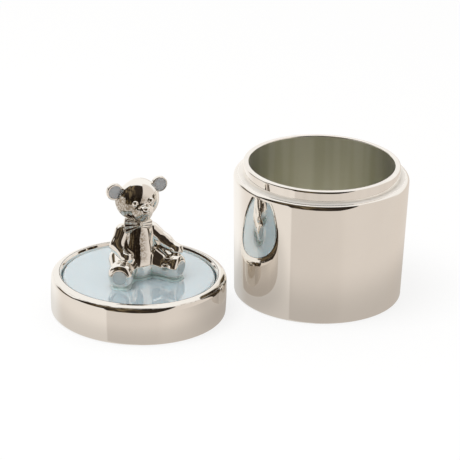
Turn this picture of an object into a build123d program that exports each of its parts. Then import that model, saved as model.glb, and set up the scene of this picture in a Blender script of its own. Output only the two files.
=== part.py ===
from build123d import *
import os
from math import radians, tan

# Round first-tooth keepsake box with its lid taken off and set down beside it.
# The box is a drafted outer case with a straight liner cup standing proud of it as a neck.
# The lid is a turned cap with a pale enamel disc let into its top. A seated cast teddy bear,
# held by one countersunk screw from inside the lid, sits on the disc as the handle.
# Millimetres, +Z up. The origin is the centre of the box's underside, and the front is -Y.

# Outer case
shoulder_width = 2.1          # from the neck out to the case's edge
case_taper = 0.9              # by which the foot is narrower than the shoulder, on the radius
case_wall = 0.9
shoulder_height = 28.95
shoulder_thickness = 1.2
shoulder_round = 0.8
case_foot_round = 0.7

# Liner cup and base plate
well_radius = 16.6
neck_wall = 1.3
neck_height = 2.7             # how far the liner stands above the shoulder
neck_ledge = 0.4              # by which the neck overhangs the liner and sits on the shoulder
neck_outer_round = 0.45
neck_inner_round = 0.25
liner_foot_round = 0.8
well_corner_round = 1.5
base_thickness = 1.2
floor_thickness = 1.2

# Lid shell
lid_step = 0.15               # by which the lid is narrower than the case, on the radius
lid_height = 9.3
lid_wall_bulge = 0.15         # how far the wall swells past its top and foot
lid_top_round = 1.5
lid_foot_round = 0.7
rim_lip = 0.9                 # width of the soft slope from the rim down to the enamel
rim_stand = 0.7               # how far the rim stands above the enamel
lid_clearance = 0.15          # between the neck and the lid's socket, on the radius
lid_plate_thickness = 1.2
socket_mouth_chamfer = 0.3

# Enamel disc in the lid's top
enamel_border = 2.7           # from the enamel out to the lid's widest
enamel_thickness = 1.0

# Where the lid stands while it is off the box
lid_gap = 2.95                # between the two walls, at their widest
lid_bearing = 198.4           # degrees from +X, seen from above

# Countersunk screw up through the lid into the bear
screw_radius = 1.0
screw_head_radius = 2.0
screw_head_angle = 90.0       # degrees across the cone
screw_grip = 4.5              # length inside the bear
screw_slot_width = 0.5
screw_slot_depth = 0.4
screw_hole_clearance = 0.1

# Where the bear sits
bear_yaw = 26.0               # degrees that the bear faces to the right of the front
bear_setback = 0.7            # from the lid's centre back to the torso's axis
bear_shift = -0.4             # from the lid's centre sideways to the torso's axis

# Torso
seat_radius = 4.2
belly_radius = 5.1
belly_height = 3.8
chest_radius = 3.9
chest_height = 9.6
bear_neck_radius = 2.2
neck_foot_height = 12.2
neck_seam_height = 13.3

# Head
skull_radius = 5.0
skull_drop = 4.9              # from the head's centre to the chin
jaw_rise = 0.3                # where the cheeks begin to draw in, over the head's centre
chin_radius = 1.3             # of the flat under the chin
chin_round = 0.8
head_centre_height = 18.1
head_forward = 0.7            # from the torso's axis
head_side = -0.3
head_turn = -3.0              # degrees on the body
head_lean = 4.5               # degrees towards the bear's right shoulder
muzzle_reach = 6.0            # from the head's centre to the muzzle's tip
muzzle_drop = 1.5
muzzle_base_radius = 3.1
muzzle_tip_radius = 1.85
nose_radius = 0.8
nose_rise = 1.45              # above the muzzle's axis
eye_radius = 0.8
eye_spread = 1.85
eye_rise = 1.2
eye_forward = 4.3

# Ears
ear_radius = 1.78
ear_thickness = 1.1
ear_edge_round = 0.22
ear_spread = 5.4
ear_rise = 3.0
ear_splay = 0.0               # degrees that each ear is turned outwards
ear_pad_radius = 1.5

# Arms
elbow_radius = 1.55
wrist_radius = 1.3
shoulder_radius = 1.8
paw_radius = 1.4
arm_root_spread = 3.5         # from the torso's axis
arm_root_height = 11.0

# Legs
hip_spread = 2.75
thigh_radius = 3.9
ankle_radius = 2.6
foot_radius = 2.95
foot_length = 2.1
leg_length = 8.4              # from the hip's centre to the sole
leg_splay = 36.0              # degrees from straight ahead
leg_axis_height = 2.85
sole_round = 0.5
sole_pad_radius = 1.95

# Enamel in the ears and soles
pad_depth = 0.35

# Bow and the ribbon round the neck
ribbon_thickness = 0.8
ribbon_round = 0.3
bow_knot_radius = 0.75
bow_knot_height = 1.6
bow_knot_round = 0.35
bow_wing_length = 3.4
bow_wing_root = 0.9           # height of a wing at the knot
bow_wing_end = 3.0            # height of a wing at its outer end
bow_wing_thickness = 0.9
bow_wing_sweep = 14.0         # degrees that each wing is swept back round the chest
bow_stand = 0.1               # between a wing's back and the ribbon
bow_wing_droop = 12.0         # degrees that each wing hangs

# Sizes that follow from those above
neck_radius = well_radius + neck_wall
case_radius = neck_radius + shoulder_width
case_foot_radius = case_radius - case_taper
lid_radius = case_radius - lid_step
enamel_radius = lid_radius - enamel_border
neck_top = shoulder_height + neck_height
liner_radius = neck_radius - neck_ledge
foot_bore_radius = case_foot_radius - case_wall
floor_top = base_thickness + floor_thickness
socket_radius = neck_radius + lid_clearance
lid_edge_radius = lid_radius - lid_wall_bulge
enamel_top = lid_height - rim_stand
recess_floor = enamel_top - enamel_thickness
socket_ceiling = recess_floor - lid_plate_thickness
screw_head_height = (screw_head_radius - screw_radius) / tan(radians(screw_head_angle / 2))
lid_distance = case_radius + lid_gap + lid_radius
lid_centre = Vector(lid_distance, 0, 0).rotate(Axis.Z, lid_bearing)
bow_forward = bear_neck_radius + ribbon_thickness + bow_stand + bow_wing_thickness / 2
bow_knot = Vector(0, -bow_forward, (neck_foot_height + neck_seam_height) / 2)

# Planes of the two turned shells, on edge
box_side = Plane.XZ
lid_side = Plane(origin=lid_centre, x_dir=(1, 0, 0), z_dir=(0, -1, 0))
lid_axis = Axis(lid_centre, (0, 0, 1))
socket_roof = Plane(lid_centre + Vector(0, 0, socket_ceiling), z_dir=(0, 0, -1))

# The bear is modelled sitting on the origin with its face to -Y, and is set down at the end.
# Its head, ears, eyes and nose are modelled round the head's centre.
bear_turn = Location(lid_centre + Vector(0, 0, enamel_top), (0, 0, bear_yaw))
bear_place = bear_turn * Location((bear_shift, bear_setback, 0))
head_place = Location((head_side, -head_forward, head_centre_height), (0, -head_lean, head_turn))
lid_centre_from_bear = (-bear_shift, -bear_setback, 0)


# Outer case, drawn from sheet with a turned-in shoulder
with BuildPart() as case:
    with BuildSketch(box_side):
        with BuildLine():
            Polyline(
                (foot_bore_radius, 0),
                (case_foot_radius, 0),
                (case_radius, shoulder_height),
                (liner_radius, shoulder_height),
                (liner_radius, shoulder_height - shoulder_thickness),
                (case_radius - case_wall, shoulder_height - shoulder_thickness),
                close=True,
            )
        make_face()
    revolve(axis=Axis.Z)
    rings = case.edges().filter_by(GeomType.CIRCLE)
    fillet(rings.group_by(Axis.Z)[-1].sort_by(SortBy.RADIUS)[-1], shoulder_round)
    rings = case.edges().filter_by(GeomType.CIRCLE)
    fillet(rings.group_by(Axis.Z)[0].sort_by(SortBy.RADIUS)[-1], case_foot_round)
case.part.label = "outer_case"

# Liner cup, dropped in from above until the ledge under its neck sits on the shoulder
with BuildPart() as liner:
    with BuildSketch(box_side):
        with BuildLine():
            Polyline(
                (0, base_thickness),
                (liner_radius, base_thickness),
                (liner_radius, shoulder_height),
                (neck_radius, shoulder_height),
                (neck_radius, neck_top),
                (well_radius, neck_top),
                (well_radius, floor_top),
                (0, floor_top),
                close=True,
            )
        make_face()
    revolve(axis=Axis.Z)
    rings = liner.edges().filter_by(GeomType.CIRCLE)
    fillet(rings.group_by(Axis.Z)[-1].sort_by(SortBy.RADIUS)[-1], neck_outer_round)
    rings = liner.edges().filter_by(GeomType.CIRCLE)
    fillet(rings.group_by(Axis.Z)[-1].sort_by(SortBy.RADIUS)[0], neck_inner_round)
    rings = liner.edges().filter_by(GeomType.CIRCLE)
    fillet(rings.group_by(Axis.Z)[0].sort_by(SortBy.RADIUS)[-1], liner_foot_round)
    rings = liner.edges().filter_by(GeomType.CIRCLE)
    fillet(rings.filter_by_position(Axis.Z, floor_top, floor_top), well_corner_round)
liner.part.label = "liner_cup"

# Base plate, pressed flush into the foot of the case
with BuildPart() as base:
    with BuildSketch():
        Circle(foot_bore_radius)
    extrude(amount=base_thickness)
base.part.label = "base_plate"

# Lid shell, with the socket below and the recess for the enamel above
with BuildPart() as lid:
    with BuildSketch(lid_side):
        with BuildLine():
            Polyline(
                (lid_edge_radius, lid_height),
                (enamel_radius + rim_lip, lid_height),
                (enamel_radius, enamel_top),
                (enamel_radius, recess_floor),
                (0, recess_floor),
                (0, socket_ceiling),
                (socket_radius, socket_ceiling),
                (socket_radius, 0),
                (lid_edge_radius, 0),
            )
            ThreePointArc((lid_edge_radius, 0), (lid_radius, lid_height / 2), (lid_edge_radius, lid_height))
        make_face()
    revolve(axis=lid_axis)
    rings = lid.edges().filter_by(GeomType.CIRCLE)
    fillet(rings.group_by(Axis.Z)[-1].sort_by(SortBy.RADIUS)[-1], lid_top_round)
    rings = lid.edges().filter_by(GeomType.CIRCLE)
    fillet(rings.group_by(Axis.Z)[0].sort_by(SortBy.RADIUS)[-1], lid_foot_round)
    rings = lid.edges().filter_by(GeomType.CIRCLE)
    chamfer(rings.group_by(Axis.Z)[0].sort_by(SortBy.RADIUS)[0], socket_mouth_chamfer)
    with Locations(socket_roof):
        CounterSinkHole(
            screw_radius + screw_hole_clearance,
            screw_head_radius,
            depth=lid_height,
            counter_sink_angle=screw_head_angle,
        )
lid.part.label = "lid_shell"

# Enamel disc, pierced for the screw
with BuildPart() as enamel:
    with BuildSketch(Plane(lid_centre + Vector(0, 0, recess_floor))):
        Circle(enamel_radius)
        Circle(screw_radius + screw_hole_clearance, mode=Mode.SUBTRACT)
    extrude(amount=enamel_thickness)
enamel.part.label = "lid_enamel"

# Screw, its cone flush with the socket's roof and its shank up inside the bear
with BuildPart() as screw:
    with BuildSketch(lid_side):
        with BuildLine():
            Polyline(
                (0, socket_ceiling),
                (screw_head_radius, socket_ceiling),
                (screw_radius, socket_ceiling + screw_head_height),
                (screw_radius, enamel_top + screw_grip),
                (0, enamel_top + screw_grip),
                close=True,
            )
        make_face()
    revolve(axis=lid_axis)
    with BuildSketch(socket_roof):
        Rectangle(screw_head_radius * 2, screw_slot_width)
    extrude(amount=-screw_slot_depth, mode=Mode.SUBTRACT)
screw.part.label = "bear_screw"

# Torso, pear shaped with a short neck, flat where it sits and where the head joins it
with BuildPart() as torso_blank:
    with BuildSketch(Plane.XZ):
        with BuildLine():
            belly = ThreePointArc((seat_radius, 0), (belly_radius, belly_height), (chest_radius, chest_height))
            Polyline(
                belly @ 1,
                (bear_neck_radius, neck_foot_height),
                (bear_neck_radius, neck_seam_height),
                (0, neck_seam_height),
                (0, 0),
                belly @ 0,
            )
        make_face()
    revolve(axis=Axis.Z)

with BuildPart() as torso:
    add(torso_blank.part)
    with BuildSketch(Plane(lid_centre_from_bear)):
        Circle(screw_radius)
    extrude(amount=screw_grip, mode=Mode.SUBTRACT)
torso.part.label = "bear_torso"

# Head, a ball drawn in to the chin, with a short round muzzle, cut flat on the neck
neck_seam = Plane(head_place.inverse() * Location((0, 0, neck_seam_height)))
with BuildPart() as head:
    with BuildSketch(Plane.XZ):
        with BuildLine():
            crown = RadiusArc((0, skull_radius + jaw_rise), (skull_radius, jaw_rise), skull_radius)
            jaw = TangentArc((skull_radius, jaw_rise), (chin_radius, -skull_drop), tangent=(0, -1))
            Polyline(jaw @ 1, (0, -skull_drop), crown @ 0)
        make_face()
    revolve(axis=Axis.Z)
    fillet(head.edges().filter_by(GeomType.CIRCLE).group_by(Axis.Z)[0], chin_round)
    with BuildSketch(Plane.XY.offset(-muzzle_drop)):
        with BuildLine():
            tip = muzzle_tip_radius - muzzle_reach
            RadiusArc((0, -muzzle_reach), (muzzle_tip_radius, tip), -muzzle_tip_radius)
            Polyline((muzzle_tip_radius, tip), (muzzle_base_radius, 0), (0, 0), (0, -muzzle_reach))
        make_face()
    revolve(axis=Axis((0, 0, -muzzle_drop), (0, -1, 0)))
    split(bisect_by=neck_seam, keep=Keep.TOP)
head.part.label = "bear_head"

# Nose and the two bead eyes
with BuildPart() as nose:
    with Locations((0, nose_radius - muzzle_reach, nose_rise - muzzle_drop)):
        Sphere(nose_radius)
    add(head.part, mode=Mode.SUBTRACT)
nose.part.label = "bear_nose"

with BuildPart() as eyes:
    with Locations(*[(eye_spread * side, -eye_forward, eye_rise) for side in (-1, 1)]):
        Sphere(eye_radius)
    add(head.part, mode=Mode.SUBTRACT)
eyes.part.label = "bear_eyes"


def ear_front(side):
    """The plane of an ear's front face, seen from the head's centre."""
    facing = Vector(0, -1, 0).rotate(Axis.Z, ear_splay * side)
    return Plane((ear_spread * side, 0, ear_rise), z_dir=facing).offset(ear_thickness / 2)


def make_ear(side):
    """A thick disc standing on the skull, with a round recess for the enamel."""
    with BuildPart() as ear:
        with BuildSketch(ear_front(side)):
            Circle(ear_radius)
        extrude(amount=-ear_thickness)
        fillet(ear.edges().filter_by(GeomType.CIRCLE), ear_edge_round)
        with BuildSketch(ear_front(side)):
            Circle(ear_pad_radius)
        extrude(amount=-pad_depth, mode=Mode.SUBTRACT)
        add(head.part, mode=Mode.SUBTRACT)
    return ear


def make_ear_pad(side):
    """The enamel that fills an ear's recess."""
    with BuildPart() as pad:
        with BuildSketch(ear_front(side)):
            Circle(ear_pad_radius)
        extrude(amount=-pad_depth)
        add(head.part, mode=Mode.SUBTRACT)
    return pad


def leg_direction(side):
    """The way a leg points, from the hip to the sole."""
    return Vector(0, -1, 0).rotate(Axis.Z, leg_splay * side)


def hip(side):
    """The centre of a hip."""
    return Vector(hip_spread * side, 0, leg_axis_height)


def sole(side):
    """The plane of a sole, facing along its leg."""
    return Plane(hip(side) + leg_direction(side) * leg_length, z_dir=leg_direction(side))


def make_leg(side):
    """A leg turned about its own axis, with the foot upright and a recess in the sole."""
    along = leg_direction(side)
    half = Plane(hip(side), x_dir=along, z_dir=along.cross(Vector(0, 0, 1)))
    heel = leg_length - foot_length
    toe = leg_length - sole_round
    with BuildPart() as leg:
        with BuildSketch(half):
            with BuildLine():
                RadiusArc((-thigh_radius, 0), (0, thigh_radius), thigh_radius)
                Line((0, thigh_radius), (heel, ankle_radius))
                RadiusArc((heel, ankle_radius), (toe, foot_radius), foot_length)
                RadiusArc((toe, foot_radius), (leg_length, foot_radius - sole_round), sole_round)
                Polyline((leg_length, foot_radius - sole_round), (leg_length, 0), (-thigh_radius, 0))
            make_face()
        revolve(axis=Axis(hip(side), along))
        with BuildSketch(sole(side)):
            Circle(sole_pad_radius)
        extrude(amount=-pad_depth, mode=Mode.SUBTRACT)
        add(torso_blank.part, mode=Mode.SUBTRACT)
        split(bisect_by=Plane.XY, keep=Keep.TOP)
    return leg


def make_sole_pad(side):
    """The enamel that fills a sole's recess."""
    with BuildPart() as pad:
        with BuildSketch(sole(side)):
            Circle(sole_pad_radius)
        extrude(amount=-pad_depth)
    return pad


# Ribbon round the short neck, under the head
with BuildPart() as ribbon:
    with BuildSketch(Plane.XY.offset(neck_foot_height)):
        Circle(bear_neck_radius + ribbon_thickness)
        Circle(bear_neck_radius, mode=Mode.SUBTRACT)
    extrude(amount=neck_seam_height - neck_foot_height)
    fillet(ribbon.edges().filter_by(GeomType.CIRCLE).sort_by(SortBy.RADIUS)[-2:], ribbon_round)
ribbon.part.label = "neck_ribbon"

# The arms' root, elbow and paw, as shares of the root's spread, the leg's length and the
# root's height: sideways, forwards and up
arm_route_shares = {
    "right": ((1.00, 0.01, 1.00), (1.44, 0.09, 0.72), (1.20, 0.50, 0.56)),
    "left": ((1.00, 0.01, 0.955), (1.77, 0.25, 0.72), (2.26, 0.53, 0.58)),
}


def make_arm(name, side, legs):
    """A bent arm swelling to the shoulder and ending in a round paw on the leg."""
    shoulder, elbow, paw = [
        Vector(arm_root_spread * across * side, -leg_length * ahead, arm_root_height * up)
        for across, ahead, up in arm_route_shares[name]
    ]
    bones = ((shoulder, elbow, shoulder_radius, elbow_radius), (elbow, paw, elbow_radius, wrist_radius))
    with BuildPart() as arm:
        for start, end, start_radius, end_radius in bones:
            with Locations(Plane(start, z_dir=end - start)):
                Sphere(start_radius)
                Cone(
                    start_radius,
                    end_radius,
                    (end - start).length,
                    align=(Align.CENTER, Align.CENTER, Align.MIN),
                )
        with Locations(paw):
            Sphere(paw_radius)
        for other in (torso_blank, ribbon, *legs):
            add(other.part, mode=Mode.SUBTRACT)
    return arm


sides = {"right": -1, "left": 1}
ears = {name: make_ear(side) for name, side in sides.items()}
ear_pads = {name: make_ear_pad(side) for name, side in sides.items()}
legs = {name: make_leg(side) for name, side in sides.items()}
sole_pads = {name: make_sole_pad(side) for name, side in sides.items()}
arms = {name: make_arm(name, side, legs.values()) for name, side in sides.items()}
for name in sides:
    ears[name].part.label = f"bear_ear_{name}"
    ear_pads[name].part.label = f"ear_enamel_{name}"
    legs[name].part.label = f"bear_leg_{name}"
    sole_pads[name].part.label = f"sole_enamel_{name}"
    arms[name].part.label = f"bear_arm_{name}"

def make_bow_wing(side):
    """One flared wing of the bow, running outwards and back from the knot."""
    hang = Vector(side, 0, 0).rotate(Axis.Y, bow_wing_droop * side)
    outwards = hang.rotate(Axis.Z, bow_wing_sweep * side)
    face = Plane(bow_knot, x_dir=outwards, z_dir=outwards.cross(Vector(0, 0, 1)))
    with BuildPart() as wing:
        with BuildSketch(face):
            with BuildLine():
                Polyline(
                    (bow_wing_length, -bow_wing_end / 2),
                    (0, -bow_wing_root / 2),
                    (0, bow_wing_root / 2),
                    (bow_wing_length, bow_wing_end / 2),
                )
                RadiusArc(
                    (bow_wing_length, bow_wing_end / 2),
                    (bow_wing_length, -bow_wing_end / 2),
                    bow_wing_end,
                )
            make_face()
        extrude(amount=bow_wing_thickness / 2, both=True)
    return wing


# Bow on the front of the ribbon, two flared wings and a round knot
wings = [make_bow_wing(side) for side in sides.values()]
with BuildPart() as bow:
    with BuildSketch(Plane(bow_knot).offset(-bow_knot_height / 2)):
        Circle(bow_knot_radius)
    extrude(amount=bow_knot_height)
    fillet(bow.edges().filter_by(GeomType.CIRCLE), bow_knot_round)
    for other in (torso_blank, ribbon):
        add(other.part, mode=Mode.SUBTRACT)
    for wing in wings:
        add(wing.part)
bow.part.label = "bow"

# The bear is set down on the lid and everything is written out
on_head = [head, nose, eyes, *ears.values(), *ear_pads.values()]
on_seat = [torso, ribbon, bow, *legs.values(), *sole_pads.values(), *arms.values()]
for piece in on_head:
    piece.part.locate(bear_place * head_place)
for piece in on_seat:
    piece.part.locate(bear_place)

os.makedirs("parts", exist_ok=True)
for piece in [case, liner, base, lid, enamel, screw, *on_head, *on_seat]:
    export_step(piece.part, f"parts/{piece.part.label}.step")
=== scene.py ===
from math import cos, pi, radians, sin, tan

import bmesh
import bpy
import numpy as np
import openvdb
from mathutils import Matrix, Vector


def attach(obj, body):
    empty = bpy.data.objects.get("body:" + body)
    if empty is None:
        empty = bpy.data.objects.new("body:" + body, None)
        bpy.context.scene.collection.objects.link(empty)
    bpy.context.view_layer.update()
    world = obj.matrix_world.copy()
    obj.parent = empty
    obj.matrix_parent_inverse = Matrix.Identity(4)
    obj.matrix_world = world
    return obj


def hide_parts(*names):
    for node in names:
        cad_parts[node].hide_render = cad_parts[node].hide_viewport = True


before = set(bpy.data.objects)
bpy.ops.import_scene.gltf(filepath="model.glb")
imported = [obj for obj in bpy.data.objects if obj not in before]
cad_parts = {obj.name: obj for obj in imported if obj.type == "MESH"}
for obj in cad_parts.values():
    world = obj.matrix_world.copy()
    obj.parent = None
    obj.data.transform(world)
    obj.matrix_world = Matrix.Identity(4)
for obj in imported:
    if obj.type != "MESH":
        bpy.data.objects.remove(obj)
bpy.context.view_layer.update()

# Outer case. The outside of the box is a drawn tube with a slight taper, and its top edge is
# turned in to a narrow shoulder. It is nickel plated and polished to a mirror, except on the
# flat of the shoulder, which stays frosted. The liner drops into it from above.
MM = 0.001
CASE = [
    (18.22, 0.0, 0.1),
    (19.1, 0.0, 0.7),
    (20.0, 28.95, 1.0),
    (17.53, 28.95, 0.05),
    (17.53, 27.77, 0.08),
    (19.05, 27.77, 0.3),
]
WALL_STEPS = 288
ARC_STEP = radians(6)
ROUND_HOLD = 0.05
WELD_WITHIN = 1e-6
NICKEL = ((0.93, 0.905, 0.865), (0.90, 0.872, 0.83))
NICKEL_POLISH = 0.035
NICKEL_SWIRL = 4.0
TONE_PATCH = 6.0
WIPING_MARK = 0.5
WIPED_ROUND = (1, 1, 6)
WIPED_LEAST, WIPED_MOST = 0.6, 1.5
TOOL_MARK_DEPTH = 0.00001
SHOULDER_FLAT = 19.2
SHOULDER_FADE = 0.25
FROSTED_ABOVE = 28.8
FROST_PALE, FROST_ROUGH = 0.6, 0.5


def feed(tree, node, feeds):
    """Gives each named or numbered input of a node its link or its value."""
    for where, what in dict(feeds).items():
        if isinstance(what, bpy.types.NodeSocket):
            tree.links.new(what, node.inputs[where])
        else:
            node.inputs[where].default_value = what


def lay(tree, kind, feeds=(), **settings):
    """Adds a node with its settings and what feeds it."""
    made = tree.nodes.new(kind)
    for name, value in settings.items():
        setattr(made, name, value)
    feed(tree, made, feeds)
    return made


def reckon(tree, operation, *terms):
    """One step of arithmetic in a node tree."""
    return lay(tree, "ShaderNodeMath", enumerate(terms), operation=operation).outputs[0]


def product(tree, first, *others):
    """Several shares multiplied together."""
    for other in others:
        first = reckon(tree, "MULTIPLY", first, other)
    return first


def reckon_way(tree, operation, output, *terms):
    """One step of arithmetic on places or directions."""
    made = lay(tree, "ShaderNodeVectorMath", enumerate(terms), operation=operation)
    return made.outputs[output]


def parts(tree, place):
    """The three parts of a place or a direction."""
    return lay(tree, "ShaderNodeSeparateXYZ", {0: place}).outputs


def lathe_tree():
    """Turns the points of an outline once round an upright axis."""
    tree = bpy.data.node_groups.new("turned_on_a_lathe", "GeometryNodeTree")
    for name, kind in (("Outline", "Geometry"), ("Steps round", "Int"), ("Finish", "Material")):
        tree.interface.new_socket(name, in_out="INPUT", socket_type=f"NodeSocket{kind}")
    tree.interface.new_socket("Piece", in_out="OUTPUT", socket_type="NodeSocketGeometry")
    given = lay(tree, "NodeGroupInput").outputs
    size = lay(tree, "GeometryNodeAttributeDomainSize", {0: given["Outline"]}, component="MESH")
    count = size.outputs["Point Count"]
    last = reckon(tree, "SUBTRACT", count, 1.0)
    feeds = {
        "Size X": last,
        "Size Y": 1.0,
        "Vertices X": count,
        "Vertices Y": reckon(tree, "ADD", given["Steps round"], 1.0),
    }
    grid = lay(tree, "GeometryNodeMeshGrid", feeds).outputs["Mesh"]
    spot = lay(tree, "GeometryNodeInputPosition").outputs[0]
    across, along, _ = parts(tree, spot)
    middle = reckon(tree, "MULTIPLY", last, 0.5)
    row = reckon(tree, "ROUND", reckon(tree, "ADD", across, middle))
    feeds = {"Geometry": given["Outline"], "Value": spot, "Index": row}
    drawn = lay(tree, "GeometryNodeSampleIndex", feeds, data_type="FLOAT_VECTOR").outputs[0]
    radius, _, height = parts(tree, drawn)
    angle = reckon(tree, "MULTIPLY_ADD", along, 2 * pi, pi)
    feeds = {
        0: product(tree, radius, reckon(tree, "COSINE", angle)),
        1: product(tree, radius, reckon(tree, "SINE", angle)),
        2: height,
    }
    turned_to = lay(tree, "ShaderNodeCombineXYZ", feeds).outputs[0]
    skin = lay(tree, "GeometryNodeSetPosition", {"Geometry": grid, "Position": turned_to})
    feeds = {"Geometry": skin.outputs[0], "Distance": WELD_WITHIN}
    closed = lay(tree, "GeometryNodeMergeByDistance", feeds).outputs[0]
    smooth = lay(tree, "GeometryNodeSetShadeSmooth", {"Geometry": closed}).outputs[0]
    real = lay(tree, "GeometryNodeRealizeInstances", {0: smooth}).outputs[0]
    feeds = {"Geometry": real, "Material": given["Finish"]}
    lay(tree, "NodeGroupOutput", {0: lay(tree, "GeometryNodeSetMaterial", feeds).outputs[0]})
    return tree


LATHE = lathe_tree()


def eased(corners, closed):
    """An outline with its corners rounded, and a point close to each end of every round."""
    points = []
    for number, (radius, height, ease) in enumerate(corners):
        here = np.array((radius, height))
        if ease == 0 or (not closed and number in (0, len(corners) - 1)):
            points.append(here)
            continue
        back = np.array(corners[number - 1][:2]) - here
        on = np.array(corners[(number + 1) % len(corners)][:2]) - here
        back /= np.linalg.norm(back)
        on /= np.linalg.norm(on)
        half = np.arccos(np.clip(back @ on, -1, 1)) / 2
        cut = ease / tan(half)
        middle = (back + on) / np.linalg.norm(back + on) * ease / sin(half) + here
        start, end = here + back * cut, here + on * cut
        sweep = pi - 2 * half
        steps = max(3, int(round(sweep / ARC_STEP)))
        hold = min(ROUND_HOLD, ease / 2)
        points.append(start + back * hold)
        for step in range(steps + 1):
            share = step / steps
            from_start, from_end = sin((1 - share) * sweep), sin(share * sweep)
            reach = from_start * (start - middle) + from_end * (end - middle)
            points.append(middle + reach / sin(sweep))
        points.append(end + on * hold)
    return points + points[:1] if closed else points


def made_of(mesh, name, place):
    """A piece with its place in its mesh and its faces outwards."""
    mesh.name = name
    mesh.transform(Matrix.Scale(MM, 4) @ place)
    shell = bmesh.new()
    shell.from_mesh(mesh)
    bmesh.ops.recalc_face_normals(shell, faces=shell.faces)
    shell.to_mesh(mesh)
    shell.free()
    piece = bpy.data.objects.new(name, mesh)
    bpy.context.scene.collection.objects.link(piece)
    return piece


def turned(name, corners, finish, closed=False, place=Matrix(), steps=WALL_STEPS):
    """A piece turned from its outline, given as radius, height and rounding in millimetres."""
    outline = bpy.data.meshes.new(name + "_outline")
    outline.from_pydata([(r, 0, z) for r, z in eased(corners, closed)], [], [])
    blank = bpy.data.objects.new(name + "_outline", outline)
    bpy.context.scene.collection.objects.link(blank)
    modifier = blank.modifiers.new("lathe", "NODES")
    modifier.node_group = LATHE
    wanted = {"Steps round": steps, "Finish": finish}
    for socket in LATHE.interface.items_tree:
        if socket.in_out == "INPUT" and socket.name in wanted:
            modifier[socket.identifier] = wanted[socket.name]
    ready = blank.evaluated_get(bpy.context.evaluated_depsgraph_get())
    mesh = bpy.data.meshes.new_from_object(ready)
    blank.modifiers.clear()
    bpy.data.objects.remove(blank)
    return made_of(mesh, name, place)


def shader(name):
    """A new material's tree, its surface node and the place on the object in metres."""
    material = bpy.data.materials.new(name)
    material.use_nodes = True
    tree = material.node_tree
    surface = tree.nodes["Principled BSDF"]
    spot = lay(tree, "ShaderNodeTexCoord").outputs["Object"]
    return material, tree, surface, spot


def cloud(tree, spot, size, stretch=(1, 1, 1), detail=2.0):
    """Soft noise with grains of that size in millimetres, drawn out along the stretch."""
    moved = lay(tree, "ShaderNodeMapping", {"Vector": spot, "Scale": stretch}).outputs[0]
    feeds = {"Vector": moved, "Scale": 1 / (size * MM), "Detail": detail, "Roughness": 0.55}
    return lay(tree, "ShaderNodeTexNoise", feeds).outputs["Fac"]


def between(tree, share, low, high):
    """A share from 0 to 1 spread between two numbers."""
    feeds = {"Value": share, "To Min": low, "To Max": high}
    return lay(tree, "ShaderNodeMapRange", feeds).outputs[0]


def edge(tree, value, start, end, low=0.0, step="SMOOTHSTEP"):
    """A soft step, from 0 or another low at the start to 1 at the end."""
    feeds = {"Value": value, "From Min": start, "From Max": end, "To Min": low, "To Max": 1.0}
    return lay(tree, "ShaderNodeMapRange", feeds, interpolation_type=step).outputs[0]


def mix_tones(tree, share, first, second):
    """One tone where the share is 0 and the other where it is 1. Each is a colour or a link."""
    feeds = {0: share, "A": first, "B": second}
    for where in ("A", "B"):
        if not isinstance(feeds[where], bpy.types.NodeSocket):
            feeds[where] = (*feeds[where], 1)
    return lay(tree, "ShaderNodeMix", feeds, data_type="RGBA").outputs["Result"]


def press(tree, surface, height, strength, skin="Normal"):
    """Presses tool marks of that height pattern into the surface or into its clear skin."""
    feeds = {"Height": height, "Strength": strength, "Distance": TOOL_MARK_DEPTH}
    feed(tree, surface, {skin: lay(tree, "ShaderNodeBump", feeds).outputs[0]})


def mirror_plate(name, tone, shade, polish, swirl):
    """Nickel plate: a soft change of tone, fine wiping marks and a barely uneven polish."""
    material, tree, surface, spot = shader(name)
    patches = cloud(tree, spot, TONE_PATCH)
    wiped = cloud(tree, spot, WIPING_MARK, stretch=WIPED_ROUND, detail=4.0)
    feeds = {
        "Metallic": 1.0,
        "Base Color": mix_tones(tree, patches, tone, shade),
        "Roughness": between(tree, wiped, polish * WIPED_LEAST, polish * WIPED_MOST),
    }
    feed(tree, surface, feeds)
    press(tree, surface, cloud(tree, spot, swirl), strength=0.25)
    return material


def from_axis(tree, spot):
    """Distance from the box's own upright axis."""
    level = reckon_way(tree, "MULTIPLY", "Vector", spot, (1, 1, 0))
    return reckon_way(tree, "LENGTH", "Value", level)


def case_plate(name):
    """Mirror plate, frosted on the flat of the shoulder, where the wheel can't reach."""
    material = mirror_plate(name, *NICKEL, NICKEL_POLISH, NICKEL_SWIRL)
    tree = material.node_tree
    surface = tree.nodes["Principled BSDF"]
    spot = lay(tree, "ShaderNodeTexCoord").outputs["Object"]
    inner = (SHOULDER_FLAT - SHOULDER_FADE) * MM
    round_flat = edge(tree, from_axis(tree, spot), SHOULDER_FLAT * MM, inner)
    at_top = reckon(tree, "GREATER_THAN", parts(tree, spot)[2], FROSTED_ABOVE * MM)
    frosted = product(tree, round_flat, at_top)
    polish = surface.inputs["Roughness"].links[0].from_socket
    feeds = {
        "Metallic": reckon(tree, "MULTIPLY_ADD", frosted, -FROST_PALE, 1.0),
        "Roughness": reckon(tree, "MULTIPLY_ADD", frosted, FROST_ROUGH, polish),
    }
    feed(tree, surface, feeds)
    return material


case = turned("outer_case_shell", CASE, case_plate("case_plate"), closed=True)
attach(case, "box")
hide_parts("outer_case")

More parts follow.
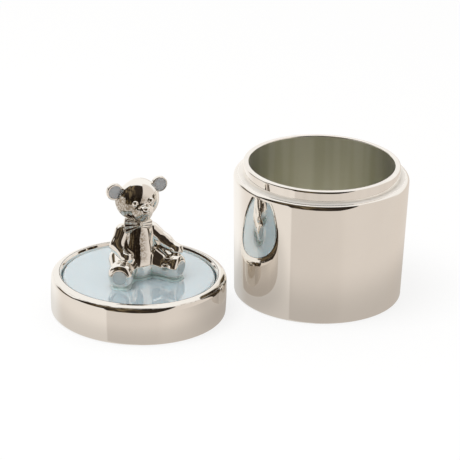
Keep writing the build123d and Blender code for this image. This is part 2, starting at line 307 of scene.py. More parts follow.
# Liner cup. A spun cup lines the box. Its thick rim stands above the shoulder as the neck that
# the lid goes over, and is polished outside. Inside it keeps a satin finish, brushed down the
# wall and turned in fine rings on the floor.
LINER = [
    (0.0, 1.22, 0),
    (17.48, 1.22, 0.8),
    (17.48, 28.97, 0.05),
    (17.9, 28.97, 0.05),
    (17.9, 31.65, 0.45),
    (16.6, 31.65, 0.25),
    (16.6, 2.4, 1.5),
    (0.0, 2.4, 0),
]
SATIN_WITHIN = 16.75
SATIN_BELOW = 31.45
RINGS_BELOW = 3.0
RING_SPACING = 0.9
SATIN = ((0.99, 0.985, 0.91), (0.87, 0.865, 0.76))
SATIN_ROUGHNESS = (0.26, 0.42)
WALL_BAND, BAND_DOWN, BAND_EDGE = 3.5, (1, 1, 0.06), (0.35, 0.65)
WALL_STREAK, STREAK_DOWN, STREAK_DEPTH = 0.35, (1, 1, 0.03), 0.6


def satin_lining(name):
    """Polished on the rim and outside, and satin inside the well."""
    material, tree, surface, spot = shader(name)
    height = parts(tree, spot)[2]
    radius = from_axis(tree, spot)
    within = reckon(tree, "LESS_THAN", radius, SATIN_WITHIN * MM)
    inside = product(tree, within, reckon(tree, "LESS_THAN", height, SATIN_BELOW * MM))
    streaks = cloud(tree, spot, WALL_STREAK, stretch=STREAK_DOWN, detail=3.0)
    bands = edge(tree, cloud(tree, spot, WALL_BAND, stretch=BAND_DOWN), *BAND_EDGE)
    satin = mix_tones(tree, bands, *SATIN)
    plate = mix_tones(tree, bands, *NICKEL)
    rough = {0: inside, 2: NICKEL_POLISH, 3: between(tree, streaks, *SATIN_ROUGHNESS)}
    feeds = {
        "Metallic": 1.0,
        "Base Color": mix_tones(tree, inside, plate, satin),
        "Roughness": lay(tree, "ShaderNodeMix", rough, data_type="FLOAT").outputs[0],
    }
    feed(tree, surface, feeds)
    on_floor = reckon(tree, "LESS_THAN", height, RINGS_BELOW * MM)
    rings = reckon(tree, "SINE", product(tree, radius, 2 * pi / (RING_SPACING * MM)))
    scored = product(tree, streaks, STREAK_DEPTH)
    marks = reckon(tree, "ADD", scored, product(tree, rings, on_floor))
    press(tree, surface, product(tree, marks, inside), strength=0.5)
    return material


liner = turned("liner_cup_shell", LINER, satin_lining("satin_lining"))
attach(liner, "box")
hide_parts("liner_cup")

# Base plate. A flat disc is pressed into the foot of the case and closes it from below. It is
# plated too, and keeps a straight brushed satin finish.
BASE_SATIN = ((0.72, 0.70, 0.65), (0.62, 0.60, 0.55))
BRUSH_LINE = 0.3
BRUSHED_ALONG = (0.04, 1, 1)


def brushed_plate(name, tone, shade):
    """Fine straight brushing over satin metal."""
    material, tree, surface, spot = shader(name)
    lines = cloud(tree, spot, BRUSH_LINE, stretch=BRUSHED_ALONG, detail=3.0)
    feeds = {
        "Metallic": 1.0,
        "Base Color": mix_tones(tree, lines, tone, shade),
        "Roughness": between(tree, lines, *SATIN_ROUGHNESS),
    }
    feed(tree, surface, feeds)
    press(tree, surface, lines, strength=0.4)
    return material


def refinish(node, material):
    """A finish for a CAD node that shows as it is."""
    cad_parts[node].data.materials.clear()
    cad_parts[node].data.materials.append(material)


refinish("base_plate", brushed_plate("satin_base", *BASE_SATIN))

# Lid shell. The lid is a turned cap with a softly swollen wall and a rounded rim that slopes down
# to the enamel. Below it has the socket that goes over the neck, bored for the bear's screw. It
# is plated and polished as the case is.
LID_X, LID_Y = -40.612, -13.510
LID_RADIUS = 19.69
LID_HEIGHT = 9.3
WALL_BULGE = 0.15
LID_WALL = [
    (LID_RADIUS + WALL_BULGE * (1 - (2 * share - 1) ** 2), LID_HEIGHT * share, 0)
    for share in np.linspace(0.12, 0.82, 12)
]
LID = [
    (1.1, 7.58, 0.05),
    (1.1, 7.3, 0.03),
    (2.0, 6.4, 0.03),
    (18.05, 6.4, 0.1),
    (18.05, 0.3, 0.05),
    (18.35, 0.0, 0.05),
    (19.7, 0.0, 0.7),
    *LID_WALL,
    (19.76, 8.45, 1.1),
    (18.69, LID_HEIGHT, 2.2),
    (17.8, LID_HEIGHT, 0.25),
    (17.5, 8.75, 0.2),
    (17.35, 8.0, 0.1),
    (17.18, 7.58, 0.05),
]
lid_place = Matrix.Translation((LID_X, LID_Y, 0))
POLISHED = mirror_plate("polished_plate", *NICKEL, NICKEL_POLISH, NICKEL_SWIRL)
lid = turned("lid_cap", LID, POLISHED, closed=True, place=lid_place)
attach(lid, "lid")
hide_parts("lid_shell")

# Lid enamel. A disc of pale blue enamel fills the recess in the lid. It is poured and fired, so
# its top is glassy and its edge is drawn down into a narrow groove beside the rim.
ENAMEL_TOP = 8.6
DISC = [
    (1.1, 7.62, 0.03),
    (17.15, 7.62, 0.05),
    (17.15, 8.1, 0.1),
    (16.8, ENAMEL_TOP, 0.35),
    (1.1, ENAMEL_TOP, 0.03),
]
DISC_BLUE = ((0.480, 0.588, 0.655), (0.455, 0.563, 0.630))
DISC_CLOUD = 9.0
SKIN_WAVE = 3.0
FIRED_GLOSS = 2.1


def fired_enamel(name, tone, shade, size, gloss=FIRED_GLOSS):
    """Glassy enamel: an even body colour with faint clouds, under a clear skin."""
    material, tree, surface, spot = shader(name)
    feeds = {
        "Base Color": mix_tones(tree, cloud(tree, spot, size, detail=3.0), tone, shade),
        "Roughness": 0.08,
        "Subsurface Weight": 0.6,
        "Subsurface Radius": (1.0, 1.5, 1.7),
        "Subsurface Scale": 2.5 * MM,
        "Coat Weight": 1.0,
        "Coat Roughness": 0.03,
        "Coat IOR": gloss,
    }
    feed(tree, surface, feeds)
    press(tree, surface, cloud(tree, spot, SKIN_WAVE), strength=0.2, skin="Coat Normal")
    return material


PALE_BLUE = fired_enamel("pale_blue_enamel", *DISC_BLUE, DISC_CLOUD)
disc = turned("lid_enamel_disc", DISC, PALE_BLUE, closed=True, place=lid_place)
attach(disc, "lid")
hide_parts("lid_enamel")

# Bear screw. One small countersunk screw from inside the lid holds the casting. It is plain
# turned steel and only its slotted head shows, in the roof of the socket.
STEEL = ((0.60, 0.59, 0.57), (0.50, 0.49, 0.47))
refinish("bear_screw", brushed_plate("turned_steel", *STEEL))

# Bear torso. The bear is a solid casting, plated and polished so that every form mirrors its
# neighbours. The torso is pear shaped with full haunches, sits flat on the enamel and narrows to
# a short neck. Its finish carries painted shade: faces turned front, left and down are painted
# dark in fine grains as a painted dark reflection, while the top keeps the bright plate tone.
BEAR_TURN = 26.0
bear_place = (
    Matrix.Translation((LID_X, LID_Y, ENAMEL_TOP))
    @ Matrix.Rotation(radians(BEAR_TURN), 4, "Z")
    @ Matrix.Translation((-0.4, 0.7, 0.0))
)
CAST_TONE, CAST_SHADE = (0.95, 0.925, 0.885), (0.91, 0.88, 0.83)
CAST_POLISH = 0.05
CAST_SWIRL = 1.2
CAST = mirror_plate("cast_plate", CAST_TONE, CAST_SHADE, CAST_POLISH, CAST_SWIRL)
# Painted shade on the bear's plate: its dark tone, the lighter grains in it, the height where it
# starts, and the facing it falls on.
PAINTED_SHADE_TONE = (0.36, 0.31, 0.245)
GRAIN_LIGHT_IN_SHADE = 0.72
GRAIN_SIZE_IN_SHADE, GRAIN_EDGE = 0.45, (0.40, 0.62)
PAINTED_SHADE_FROM, PAINTED_SHADE_FULL = 12.5, 14.5
PAINTED_SHADE_FACING, FACING_EDGE_OF_SHADE = (-0.42, -0.86, -0.28), (0.25, 0.65)
LIT_TOP_EDGE = (0.6, 0.3)
SCUFF, SCUFF_IN_SHADE, SCUFF_OUTSIDE_SHADE = 0.5, 3.0, 0.3
PEAR = ((0, 0, 3.9), (0, -0.1, 9.8), 5.0, 3.7)
PEAR_DEPTH = (1, 1.1, 1)
NECK = ((0, 0, 10.5), (0, -0.2, 13.0), 2.5, 2.3)
SEAT = ((0, 0.3, 2.4), (4.9, 4.5, 2.7))
HAUNCH = ((3.5, 0.3, 3.9), (2.5, 2.9, 4.2))
CAST_GRAIN = 0.13
SETTLE_TIMES = 4
PROBE = 0.01
LEAST_SLOPE = 0.05
TINY = 1e-6


def cast_plate_painted_shade(name, plate_tone, shade_tone):
    """Cast plate with painted shade: faces turned front, left and down are painted dark in fine
    grains, as a painted dark reflection; up-facing faces keep the plate tone.
    """
    material, tree, surface, spot = shader(name)
    facing = lay(tree, "ShaderNodeNewGeometry").outputs["Normal"]
    to_fingers = reckon_way(tree, "DOT_PRODUCT", "Value", facing, PAINTED_SHADE_FACING)
    up, height = parts(tree, facing)[2], parts(tree, spot)[2]
    # Painted shade: faces turned front, left and down, not facing up, and above the lowest part
    # get the dark grainy tone.
    painted_shade_share = product(
        tree,
        edge(tree, to_fingers, *FACING_EDGE_OF_SHADE),
        edge(tree, up, *LIT_TOP_EDGE),
        edge(tree, height, PAINTED_SHADE_FROM * MM, PAINTED_SHADE_FULL * MM),
    )
    grains = edge(tree, cloud(tree, spot, GRAIN_SIZE_IN_SHADE, detail=3.0), *GRAIN_EDGE)
    sides = mix_tones(tree, grains, shade_tone, [GRAIN_LIGHT_IN_SHADE * part for part in plate_tone])
    feeds = {
        "Metallic": 1.0,
        "Base Color": mix_tones(tree, painted_shade_share, plate_tone, sides),
        "Roughness": CAST_POLISH,
    }
    feed(tree, surface, feeds)
    deep = reckon(tree, "MULTIPLY_ADD", painted_shade_share, SCUFF_IN_SHADE, SCUFF_OUTSIDE_SHADE)
    scuffs = product(tree, cloud(tree, spot, SCUFF, detail=3.0), deep)
    press(tree, surface, scuffs, strength=0.3)
    return material


CAST_PAINTED_SHADE = cast_plate_painted_shade("cast_plate_painted_shade", CAST_TONE, PAINTED_SHADE_TONE)


def egg(spots, centre, radii):
    """Distance to an egg-shaped form, in millimetres."""
    part = (spots - np.array(centre)) / np.array(radii)
    near = np.linalg.norm(part, axis=-1)
    steep = np.linalg.norm(part / np.array(radii), axis=-1)
    return near * (near - 1) / np.maximum(steep, TINY)


def limb(spots, start, end, start_radius, end_radius):
    """Distance to two balls and the tapered skin drawn round both."""
    start, end = np.array(start, float), np.array(end, float)
    bone = end - start
    length = np.linalg.norm(bone)
    bone /= length
    rise = (start_radius - end_radius) / length
    flat = (1 - rise * rise) ** 0.5
    along = (spots - start) @ bone
    aside = np.linalg.norm(spots - start - along[..., None] * bone, axis=-1)
    lean = along * flat - aside * rise
    middle = aside * flat + along * rise - start_radius
    first = np.hypot(aside, along) - start_radius
    last = np.hypot(aside, along - length) - end_radius
    return np.where(lean < 0, first, np.where(lean > length * flat, last, middle))


def joined(first, second, blend):
    """Two forms run together with a soft hollow between them."""
    share = np.clip(0.5 + 0.5 * (second - first) / blend, 0, 1)
    return second + (first - second) * share - blend * share * (1 - share)


def kept_by(form, bound, blend):
    """A form kept where the bound is below 0, with an eased edge."""
    return -joined(-form, -bound, blend)


def cast(name, form, low, high, place=bear_place, finish=CAST, grain=CAST_GRAIN):
    """A skin drawn on a form by its distances, each point set on it and its slope kept."""
    low = np.array(low, float)
    lines = [np.arange(a, b, grain) for a, b in zip(low, high)]
    spots = np.stack(np.meshgrid(*lines, indexing="ij"), -1)
    block = openvdb.FloatGrid(background=1.0)
    block.copyFromArray(form(spots).astype(np.float32))
    points, _, quads = block.convertToPolygons(isovalue=0.0, adaptivity=0.0)
    points = low + points * grain
    probes = PROBE * np.eye(3)
    for _ in range(SETTLE_TIMES):
        slope = np.stack([form(points + n) - form(points - n) for n in probes], -1) / (2 * PROBE)
        steep = np.maximum((slope**2).sum(-1), LEAST_SLOPE)
        points = points - (form(points) / steep)[:, None] * slope
    slope /= np.maximum(np.linalg.norm(slope, axis=-1, keepdims=True), TINY)
    mesh = bpy.data.meshes.new(name)
    mesh.from_pydata(points.tolist(), [], quads.tolist())
    mesh.materials.append(finish)
    mesh.polygons.foreach_set("use_smooth", [True] * len(mesh.polygons))
    piece = made_of(mesh, name, place)
    turn = np.array(place.to_3x3())
    piece.data.normals_split_custom_set_from_vertices((slope @ turn.T).tolist())
    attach(piece, "lid")
    return piece


def torso_form(spots):
    """The pear, its seat and neck, and a haunch on each side, cut flat below."""
    whole = joined(limb(spots * PEAR_DEPTH, *PEAR), egg(spots, *SEAT), blend=1.5)
    whole = joined(whole, limb(spots, *NECK), blend=2.0)
    for side in (-1, 1):
        whole = joined(whole, egg(spots * (side, 1, 1), *HAUNCH), blend=1.4)
    return kept_by(whole, -spots[..., 2], blend=0.3)


torso_box = ((-6.6, -5.8, -0.4), (6.6, 5.8, 14.4))
torso = cast("bear_torso_casting", torso_form, *torso_box, finish=CAST_PAINTED_SHADE)
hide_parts("bear_torso")

# Bear legs. Two stout legs of the same casting point forward and outward and rest on the enamel.
# Each ends in an upright round foot, with a flat sole let in with grey-blue enamel.
HIPS = {"right": (-2.45, -34.0), "left": (3.05, 36.0)}
LEG_HEIGHT = 2.85
LEG_LENGTH = 8.4
THIGH = ((0, -0.3, 0.7), (0, -5.0, -0.5), 4.0, 2.35)
FOOT = ((0, -6.7, -0.1), (0, -6.75, 0.15), 2.85, 2.85)


def leg_place(name):
    """A leg's own frame: its length runs forward along -Y from the hip."""
    across, splay = HIPS[name]
    out = Matrix.Translation((across, 0, LEG_HEIGHT))
    return bear_place @ out @ Matrix.Rotation(radians(splay), 4, "Z")


def leg_form(spots):
    """The thigh run into the foot, cut flat at the sole and where it rests."""
    whole = joined(limb(spots, *THIGH), limb(spots, *FOOT), blend=0.9)
    whole = kept_by(whole, -spots[..., 1] - LEG_LENGTH, blend=0.55)
    return kept_by(whole, -spots[..., 2] - LEG_HEIGHT, blend=0.25)


leg_box = ((-4.4, -8.8, -3.1), (4.4, 4.2, 5.0))
for name in HIPS:
    leg = cast(f"bear_leg_{name}_casting", leg_form, *leg_box, leg_place(name))
    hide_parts(f"bear_leg_{name}")

# Enamel bead. The bear beds into the soft enamel, which creeps up round the seat and legs in a
# thin bead, a little greener than the disc because it is thicker there. Its tone is also painted
# far brighter than the disc's, as a painted bright line of light where the bear shades the enamel.
BEAD = 0.45
BEAD_HEIGHT = 0.8 * BEAD
BEAD_UNDER = 0.05
BEAD_WIDTH = 0.6
BEAD_PAINTED_BRIGHT_TONES = ((0.62, 0.97, 0.99), (0.57, 0.92, 0.95))
BEAD_CLOUD = 2.0
BEAD_GLOSS = 1.3


def seat_outline(spots):
    """Distance to the bear's footprint: its torso and both legs just above the enamel."""
    near = torso_form(spots)
    for across, splay in HIPS.values():
        turn = np.array(Matrix.Rotation(radians(-splay), 3, "Z"))
        near = np.minimum(near, leg_form((spots - (across, 0, LEG_HEIGHT)) @ turn.T))
    return near


def bead_form(spots):
    """A sloping bead round the footprint, flat on top and hollow under the bear."""
    away = seat_outline(spots * (1, 1, 0) + (0, 0, BEAD))
    high = spots[..., 2]
    top = np.maximum(away + high - BEAD, high - BEAD_HEIGHT)
    return np.maximum(np.maximum(top, -high - BEAD_UNDER), -away - BEAD_WIDTH)


# Painted light: the bead's tone is much brighter than the disc's, to show a bright line in the
# bear's shade.
bead_painted_bright = fired_enamel("bead_enamel_painted_bright", *BEAD_PAINTED_BRIGHT_TONES, BEAD_CLOUD, BEAD_GLOSS)
bead_box = ((-9.8, -11.5, -0.3), (9.8, 6.5, 0.8))
bead = cast("enamel_bead", bead_form, *bead_box, finish=bead_painted_bright)

# Enamel in the soles. The same glassy enamel in a deeper grey-blue fills the round recess in each
# sole as a low dome. The ears have such a fill too.
SOLE_BLUE = ((0.48, 0.61, 0.65), (0.44, 0.565, 0.605))
PAD_CLOUD = 1.5
SOLE_PAD = 1.6
PAD_UNDER, PAD_RISE = -0.3, 0.07
PAD_STEPS = 96
FACE_FORWARD = Matrix.Rotation(radians(90), 4, "X")


def pad(name, node, radius, place, enamel):
    """A low dome of enamel in its recess, facing along its place's own +Z."""
    outline = [
        (0, PAD_UNDER, 0),
        (radius, PAD_UNDER, 0.05),
        (radius, 0.0, 0.04),
        (radius * 0.6, 0.05, 0),
        (0, PAD_RISE, 0),
    ]
    piece = turned(name, outline, enamel, place=place, steps=PAD_STEPS)
    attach(piece, "lid")
    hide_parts(node)
    return piece


soft_blue = fired_enamel("soft_blue_enamel", *SOLE_BLUE, PAD_CLOUD)
for name in HIPS:
    face = leg_place(name) @ Matrix.Translation((0, -LEG_LENGTH, 0)) @ FACE_FORWARD
    pad(f"sole_pad_{name}", f"sole_enamel_{name}", SOLE_PAD, face, soft_blue)

# Bear arms. Each arm of the casting hangs from the shoulder, bends at the elbow and rests its
# round paw on the leg, the left one further out than the right.
ARM_ROUTES = {
    "right": (-1, (3.5, -0.08, 11.0), (5.04, -0.76, 7.92), (4.2, -4.2, 6.16)),
    "left": (1, (3.5, -0.3, 10.4), (6.0, -2.1, 7.8), (7.91, -4.45, 6.38)),
}
SHOULDER_RADIUS, ELBOW_RADIUS, WRIST_RADIUS = 1.78, 1.55, 1.2
PAW_RADII = (1.38, 1.4, 1.35)
ARM_ROOM = 2.4


def arm_form(shoulder, elbow, paw):
    """Distances to an arm that follows its route from the shoulder to the paw."""

    def form(spots):
        upper = limb(spots, shoulder, elbow, SHOULDER_RADIUS, ELBOW_RADIUS)
        fore = limb(spots, elbow, paw, ELBOW_RADIUS, WRIST_RADIUS)
        return joined(joined(upper, fore, blend=1.0), egg(spots, paw, PAW_RADII), blend=0.6)

    return form


for name, (side, *route) in ARM_ROUTES.items():
    route = np.array(route) * (side, 1, 1)
    low, high = route.min(0) - ARM_ROOM, route.max(0) + ARM_ROOM
    arm = cast(f"bear_arm_{name}_casting", arm_form(*route), low, high)
    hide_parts(f"bear_arm_{name}")

# Bear head. A broad, slightly flattened skull draws in to a small chin, with a short round
# muzzle and a crown that eases away at the back. A fine mouth line is cut under the nose, and
# the finish carries the same painted shade as the torso's.
head_place = (
    bear_place
    @ Matrix.Translation((-0.3, -0.7, 18.1))
    @ Matrix.Rotation(radians(-3), 4, "Z")
    @ Matrix.Rotation(radians(-4.5), 4, "Y")
)
SKULL = ((0, 0.1, 0.5), (5.05, 3.8, 4.75))
JAW = ((0, 0.0, 0.2), (0, -0.9, -2.9), 4.5, 1.75)
JAW_DEPTH = (1, 1.15, 1)
MUZZLE = ((0, -2.6, -1.5), (0, -4.75, -0.75), 2.45, 1.2)
SMILE = ((0.15, -5.6, -1.75), (1.2, -4.9, -2.3), 0.12, 0.08)
CROWN_SLANT = np.array((-0.454, 0.518, 0.72))
CROWN_REACH = 4.85


def head_form(spots):
    """Skull and jaw with the crown eased, the muzzle set in, and the mouth line cut."""
    ball = joined(egg(spots, *SKULL), limb(spots * JAW_DEPTH, *JAW), blend=0.8)
    ball = kept_by(ball, spots @ CROWN_SLANT - CROWN_REACH, blend=1.4)
    whole = joined(ball, limb(spots, *MUZZLE), blend=0.4)
    for side in (-1, 1):
        whole = kept_by(whole, -limb(spots * (side, 1, 1), *SMILE), blend=0.12)
    return whole


head_box = ((-6, -6.8, -5.6), (6, 5.4, 6.0))
head = cast("bear_head_casting", head_form, *head_box, head_place, CAST_PAINTED_SHADE)
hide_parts("bear_head")

# Nose and eyes. These are small raised beads of the casting itself, polished with it. The nose
# caps the muzzle, and the eyes stand beside its root.
NOSE = ((0.1, -5.45, -0.05), (0.8, 0.62, 0.6))
EYE = ((1.85, -3.75, 1.1), (0.74, 0.72, 0.74))
BEAD_GRAIN = 0.08


def nose_form(spots):
    """Distance to the nose."""
    return egg(spots, *NOSE)


def eye_form(spots):
    """Distance to the nearer eye."""
    return np.minimum(*(egg(spots * (side, 1, 1), *EYE) for side in (-1, 1)))


nose_box = ((-1.3, -6.5, -1.1), (1.3, -4.2, 1.1))
nose = cast("bear_nose_bead", nose_form, *nose_box, head_place, grain=BEAD_GRAIN)
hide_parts("bear_nose")
eye_box = ((-3, -5.4, -0.1), (3, -3.0, 2.4))
eyes = cast("bear_eye_beads", eye_form, *eye_box, head_place, grain=BEAD_GRAIN)
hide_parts("bear_eyes")

# Bear ears. Two thick round discs are cast on the skull. Each has a softly rounded rim and a
# recess in front that is filled with grey-blue enamel.
EARS = {"right": (-5.25, 3.3, 1.93), "left": (5.4, 3.0, 1.8)}
EAR_HALF = 0.55
EAR_PAD = 1.5
EAR_FLOOR = 0.2
EAR_FILL = 0.5
EAR_STEPS = 128
EAR_BLUE = ((0.30, 0.345, 0.375), (0.26, 0.30, 0.335))
grey_blue = fired_enamel("grey_blue_enamel", *EAR_BLUE, PAD_CLOUD)
for name, (across, high, rim) in EARS.items():
    outline = [
        (0, -EAR_HALF, 0),
        (rim, -EAR_HALF, 0.3),
        (rim, EAR_HALF, 0.2),
        (EAR_PAD, EAR_HALF, 0.07),
        (EAR_PAD, EAR_FLOOR, 0.04),
        (0, EAR_FLOOR, 0),
    ]
    ear_place = head_place @ Matrix.Translation((across, 0, high)) @ FACE_FORWARD
    ear = turned(f"bear_ear_{name}_rim", outline, CAST, place=ear_place, steps=EAR_STEPS)
    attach(ear, "lid")
    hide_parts(f"bear_ear_{name}")
    face = ear_place @ Matrix.Translation((0, 0, EAR_FILL))
    pad(f"ear_pad_{name}", f"ear_enamel_{name}", EAR_PAD, face, grey_blue)

# Neck ribbon. A cast band goes round the neck, between the torso and the head, and is polished
# with them. The bow is tied in front of it.
RIBBON = [(2.1, 12.2, 0.05), (3.0, 12.2, 0.3), (3.0, 13.3, 0.3), (2.1, 13.3, 0.05)]
RIBBON_STEPS = 128
ribbon = turned(
    "neck_ribbon_band", RIBBON, CAST, closed=True, place=bear_place, steps=RIBBON_STEPS
)
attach(ribbon, "lid")
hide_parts("neck_ribbon")

# Bow. It is cast with the ribbon: two wings flare from a small knot and are drawn into pleats
# that fan out with them. The right wing is the taller, and the left one droops more.
KNOT = np.array((-1.0, -3.5, 13.5))
KNOT_RADII = (0.72, 0.7, 0.78)
WINGS = ((-1, 3, 1.45), (1, 9, 0.7))
WING_LENGTH = 3.4
WING_SWEEP = 14
WING_EASE = 0.2
ROOT_HALF = 0.5
WING_THICK, TIP_THICKER = 0.24, 0.06
TIP_CURVE = 0.28
PAST_TIP = 1.2
PLEATS = 3
PLEAT_DEPTH = 0.07
BOW_GRAIN = 0.07


def wing(spots, side, lean, flare):
    """One pleated wing: its height flares from the knot, and its folds fan out with it."""
    sweep, droop = radians(WING_SWEEP), radians(lean)
    out = np.array((cos(sweep) * cos(droop) * side, sin(sweep) * cos(droop), -sin(droop)))
    up = np.array((cos(sweep) * sin(droop) * side, sin(sweep) * sin(droop), cos(droop)))
    away, high, thick = ((spots - KNOT) @ way for way in (out, up, np.cross(up, out)))
    reach = np.clip(away / WING_LENGTH, 0, PAST_TIP)
    half = ROOT_HALF + flare * reach
    across = high / half
    fold = PLEAT_DEPTH * np.cos(across * PLEATS * pi) * reach
    tall = np.abs(high) - half + WING_EASE
    slab = np.abs(thick) - WING_THICK - TIP_THICKER * reach - fold
    tip = away - WING_LENGTH + TIP_CURVE * across**2 + WING_EASE
    long = np.maximum(tip, -away - WING_EASE)
    stack = np.stack((tall, slab, long), -1)
    outside = np.linalg.norm(np.maximum(stack, 0), axis=-1)
    return outside + np.minimum(stack.max(-1), 0) - WING_EASE


def bow_form(spots):
    """Both wings, drawn together in the knot."""
    wings = np.minimum(*(wing(spots, *given) for given in WINGS))
    return joined(wings, egg(spots, KNOT, KNOT_RADII), blend=0.12)


bow_box = ((-4.8, -4.8, 11.0), (3.4, -1.6, 16.2))
# The bow carries the same painted shade as the torso's finish.
bow = cast("bow_casting", bow_form, *bow_box, finish=CAST_PAINTED_SHADE, grain=BOW_GRAIN)
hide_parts("bow")

# Floor. Plain white paper lies under both pieces. Mirrored in the polish, it is clear except for
# painted shade close to each foot.
FLOOR_HALF = 3
PAPER_WHITE = (0.88, 0.88, 0.88, 1)
PAPER_GLOW = 0.8
FOOT_SHADE = (
    ((0, 0, 0), 0.050, 0.74),
    ((LID_X * MM, LID_Y * MM, 0), 0.035, 0.80),
)
FOOT_RADIUS = 0.019


def either(tree, share, first, second):
    """One light or surface where the share is 0, and the other where it is 1."""
    return lay(tree, "ShaderNodeMixShader", {0: share, 1: first, 2: second}).outputs[0]


def floor_paper():
    """White paper that keeps the object's shadow, and is clear to the polish."""
    material = bpy.data.materials.new("floor_paper")
    material.use_nodes = True
    tree = material.node_tree
    tree.nodes.clear()
    spot = lay(tree, "ShaderNodeTexCoord").outputs["Object"]
    shades = []
    # Painted shade round each foot, seen only in the polish's reflections.
    for middle, reach, dark in FOOT_SHADE:
        away = reckon_way(tree, "DISTANCE", "Value", spot, middle)
        shades.append(edge(tree, away, FOOT_RADIUS, reach, low=dark, step="SMOOTHERSTEP"))
    paper = lay(tree, "ShaderNodeBsdfDiffuse", {"Color": PAPER_WHITE}).outputs[0]
    white = lay(tree, "ShaderNodeEmission", {"Color": (1, 1, 1, 1), "Strength": 1.0}).outputs[0]
    through = lay(tree, "ShaderNodeBsdfTransparent", {"Color": product(tree, *shades)}).outputs[0]
    rays = lay(tree, "ShaderNodeLightPath").outputs
    seen = product(tree, rays["Is Camera Ray"], PAPER_GLOW)
    plain = either(tree, seen, paper, white)
    lay(tree, "ShaderNodeOutputMaterial", {0: either(tree, rays["Is Glossy Ray"], plain, through)})
    return material


floor_mesh = bpy.data.meshes.new("floor")
corners = [(-1, -1, 0), (1, -1, 0), (1, 1, 0), (-1, 1, 0)]
floor_mesh.from_pydata((np.array(corners) * FLOOR_HALF).tolist(), [], [(0, 1, 2, 3)])
floor_mesh.materials.append(floor_paper())
floor = bpy.data.objects.new("floor", floor_mesh)
bpy.context.scene.collection.objects.link(floor)

# Studio. A pale room, which only the polish mirrors, has a dark gap in front of the object
# between two pale cards. Soft light comes evenly from all round and from one broad lamp above.
BEIGE, BEIGE_ROUND = ((0.69, 0.63, 0.575), (0.745, 0.675, 0.61)), (-30, 110)
LEFT_CARD, LEFT_CARD_ROUND = (0.84, 0.78, 0.72), (-38.5, -41)
REAR_WHITE, REAR_ROUND = (1.0, 0.975, 0.94), (-112, -146)
RAISED_WHITE, RAISED_HIGH = (0.98, 0.96, 0.93), (0, 14)
RIGHT_CARD = (0.74, 0.675, 0.615)
RIGHT_CARD_ROUND, RIGHT_CARD_TOP = ((24, 38), (125, 105)), (66, 60)
AHEAD_OVER = ((-19, -15), (89, 83))
AHEAD_LEFT, AHEAD_RIGHT = (0.87, 0.24), (0.60, 0.50)
ASIDE_ROUND, ASIDE_HIGH = ((-97, -91), (-34, -36)), ((10, 14), (74, 68))
SLIVER_ROUND, SLIVER_HIGH = ((-134, -122), (-80, -92)), ((3, 6), (26, 21))
GAP_TONES = ((0.030, 0.022, 0.016), (0.20, 0.15, 0.085))
GAP_BLUR = (-0.02, 0.02)
BROWN_ROUND, BROWN_EDGE = (25, -40), (0.43, 0.63)
FOLDS, FOLDS_STRETCH = {"Scale": 2.6, "Detail": 1.5}, (1.8, 0.8, 0.8)
PLAIN_LIGHT = (1.0, 0.985, 0.965, 1)
PLAIN_STRENGTH = 0.8
LAMP_SIZE = 0.35
LAMP_POWER = 1.6
LAMP_SPOT = (-0.18, -0.10, 0.55)
LAMP_AIM = (-0.02, -0.005, 0.01)


def band(tree, value, rise, fall):
    """1 between two soft steps, each given as its start and end, and 0 outside them."""
    return product(tree, edge(tree, value, *rise), edge(tree, value, *fall))


def slope_of(tree, front, up, front_share, up_share):
    """How far a direction points ahead and up, in those shares."""
    return reckon(tree, "ADD", product(tree, front, front_share), product(tree, up, up_share))


def mirrored_room(tree):
    """What the polish sees: white behind and above, two pale cards, and the dark gap between.

    Angles are in degrees: round about from the front to the right, over from the front over the
    top to the back, and high above the horizon.
    """
    way = lay(tree, "ShaderNodeTexCoord").outputs["Generated"]
    x, y, z = parts(tree, way)
    front = product(tree, y, -1.0)
    round_about = reckon(tree, "DEGREES", reckon(tree, "ARCTAN2", x, front))
    over = reckon(tree, "DEGREES", reckon(tree, "ARCTAN2", z, front))
    high = reckon(tree, "DEGREES", reckon(tree, "ARCSINE", z))
    beige = mix_tones(tree, edge(tree, round_about, *BEIGE_ROUND), *BEIGE)
    card = mix_tones(tree, edge(tree, round_about, *LEFT_CARD_ROUND), beige, LEFT_CARD)
    rear = mix_tones(tree, edge(tree, round_about, *REAR_ROUND), card, REAR_WHITE)
    raised = mix_tones(tree, edge(tree, high, *RAISED_HIGH), rear, RAISED_WHITE)
    beside = product(
        tree, band(tree, round_about, *RIGHT_CARD_ROUND), edge(tree, high, *RIGHT_CARD_TOP)
    )
    lit = mix_tones(tree, beside, raised, RIGHT_CARD)
    left_side = reckon(tree, "ADD", slope_of(tree, front, z, *AHEAD_LEFT), x)
    right_side = reckon(tree, "SUBTRACT", slope_of(tree, front, z, *AHEAD_RIGHT), x)
    ahead = product(
        tree,
        edge(tree, left_side, *GAP_BLUR),
        edge(tree, right_side, *GAP_BLUR),
        band(tree, over, *AHEAD_OVER),
    )
    aside, sliver = (
        product(tree, band(tree, round_about, *sides), band(tree, high, *ends))
        for sides, ends in ((ASIDE_ROUND, ASIDE_HIGH), (SLIVER_ROUND, SLIVER_HIGH))
    )
    gap = reckon(tree, "MAXIMUM", reckon(tree, "MAXIMUM", ahead, aside), sliver)
    drawn = lay(tree, "ShaderNodeMapping", {"Vector": way, "Scale": FOLDS_STRETCH}).outputs[0]
    folds = lay(tree, "ShaderNodeTexNoise", {"Vector": drawn, **FOLDS}).outputs["Fac"]
    leftward = edge(tree, round_about, *BROWN_ROUND)
    brown = product(tree, leftward, edge(tree, folds, *BROWN_EDGE))
    return mix_tones(tree, gap, lit, mix_tones(tree, brown, *GAP_TONES))


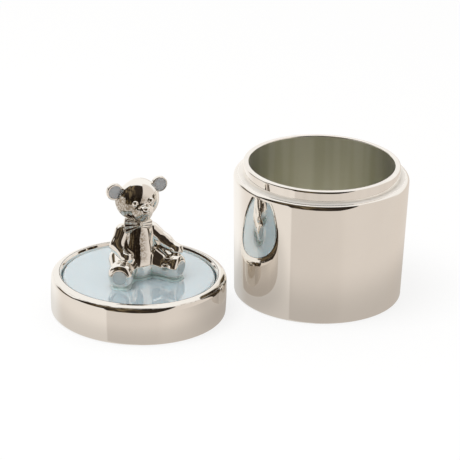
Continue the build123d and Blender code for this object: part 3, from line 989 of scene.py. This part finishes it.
def backdrop(tree, tone, strength):
    """An even light from all round in that tone."""
    return lay(tree, "ShaderNodeBackground", {"Color": tone, "Strength": strength}).outputs[0]


def paint_world(tree):
    """White for the camera, an even pale light for soft light, and the room for reflections."""
    tree.nodes.clear()
    rays = lay(tree, "ShaderNodeLightPath").outputs
    room = backdrop(tree, mirrored_room(tree), 1.0)
    plain = backdrop(tree, PLAIN_LIGHT, PLAIN_STRENGTH)
    white = backdrop(tree, (1, 1, 1, 1), 1.0)
    soft = either(tree, rays["Is Glossy Ray"], plain, room)
    lay(tree, "ShaderNodeOutputWorld", {0: either(tree, rays["Is Camera Ray"], soft, white)})


world = bpy.data.worlds.new("studio")
world.use_nodes = True
bpy.context.scene.world = world
paint_world(world.node_tree)

lamp_data = bpy.data.lights.new("soft_lamp", "AREA")
lamp_data.shape = "DISK"
lamp_data.size = LAMP_SIZE
lamp_data.energy = LAMP_POWER
lamp = bpy.data.objects.new("soft_lamp", lamp_data)
lamp.location = LAMP_SPOT
lamp.rotation_euler = (Vector(LAMP_AIM) - lamp.location).to_track_quat("-Z", "Y").to_euler()
lamp.visible_glossy = False
bpy.context.scene.collection.objects.link(lamp)

# Camera. It stands in front of the object and looks down on it, with a long lens and a slight
# roll, as the photograph was taken.
PITCH, ROLL = 0.4004, 0.0283
CAMERA_SPOT = (-0.020404, -0.66231, 0.29471)
LENS = 246.29
ahead = Vector((0, cos(PITCH), -sin(PITCH)))
level = Vector((1, 0, 0))
upright = level.cross(ahead)
right = level * cos(ROLL) + upright * sin(ROLL)
up = upright * cos(ROLL) - level * sin(ROLL)
camera_data = bpy.data.cameras.new("camera")
camera_data.sensor_width = 36
camera_data.lens = LENS
camera = bpy.data.objects.new("camera", camera_data)
aim = Matrix((right, up, -ahead)).transposed().to_4x4()
camera.matrix_world = Matrix.Translation(CAMERA_SPOT) @ aim
bpy.context.scene.collection.objects.link(camera)
bpy.context.scene.camera = camera
bpy.context.scene.view_settings.view_transform = "Standard"
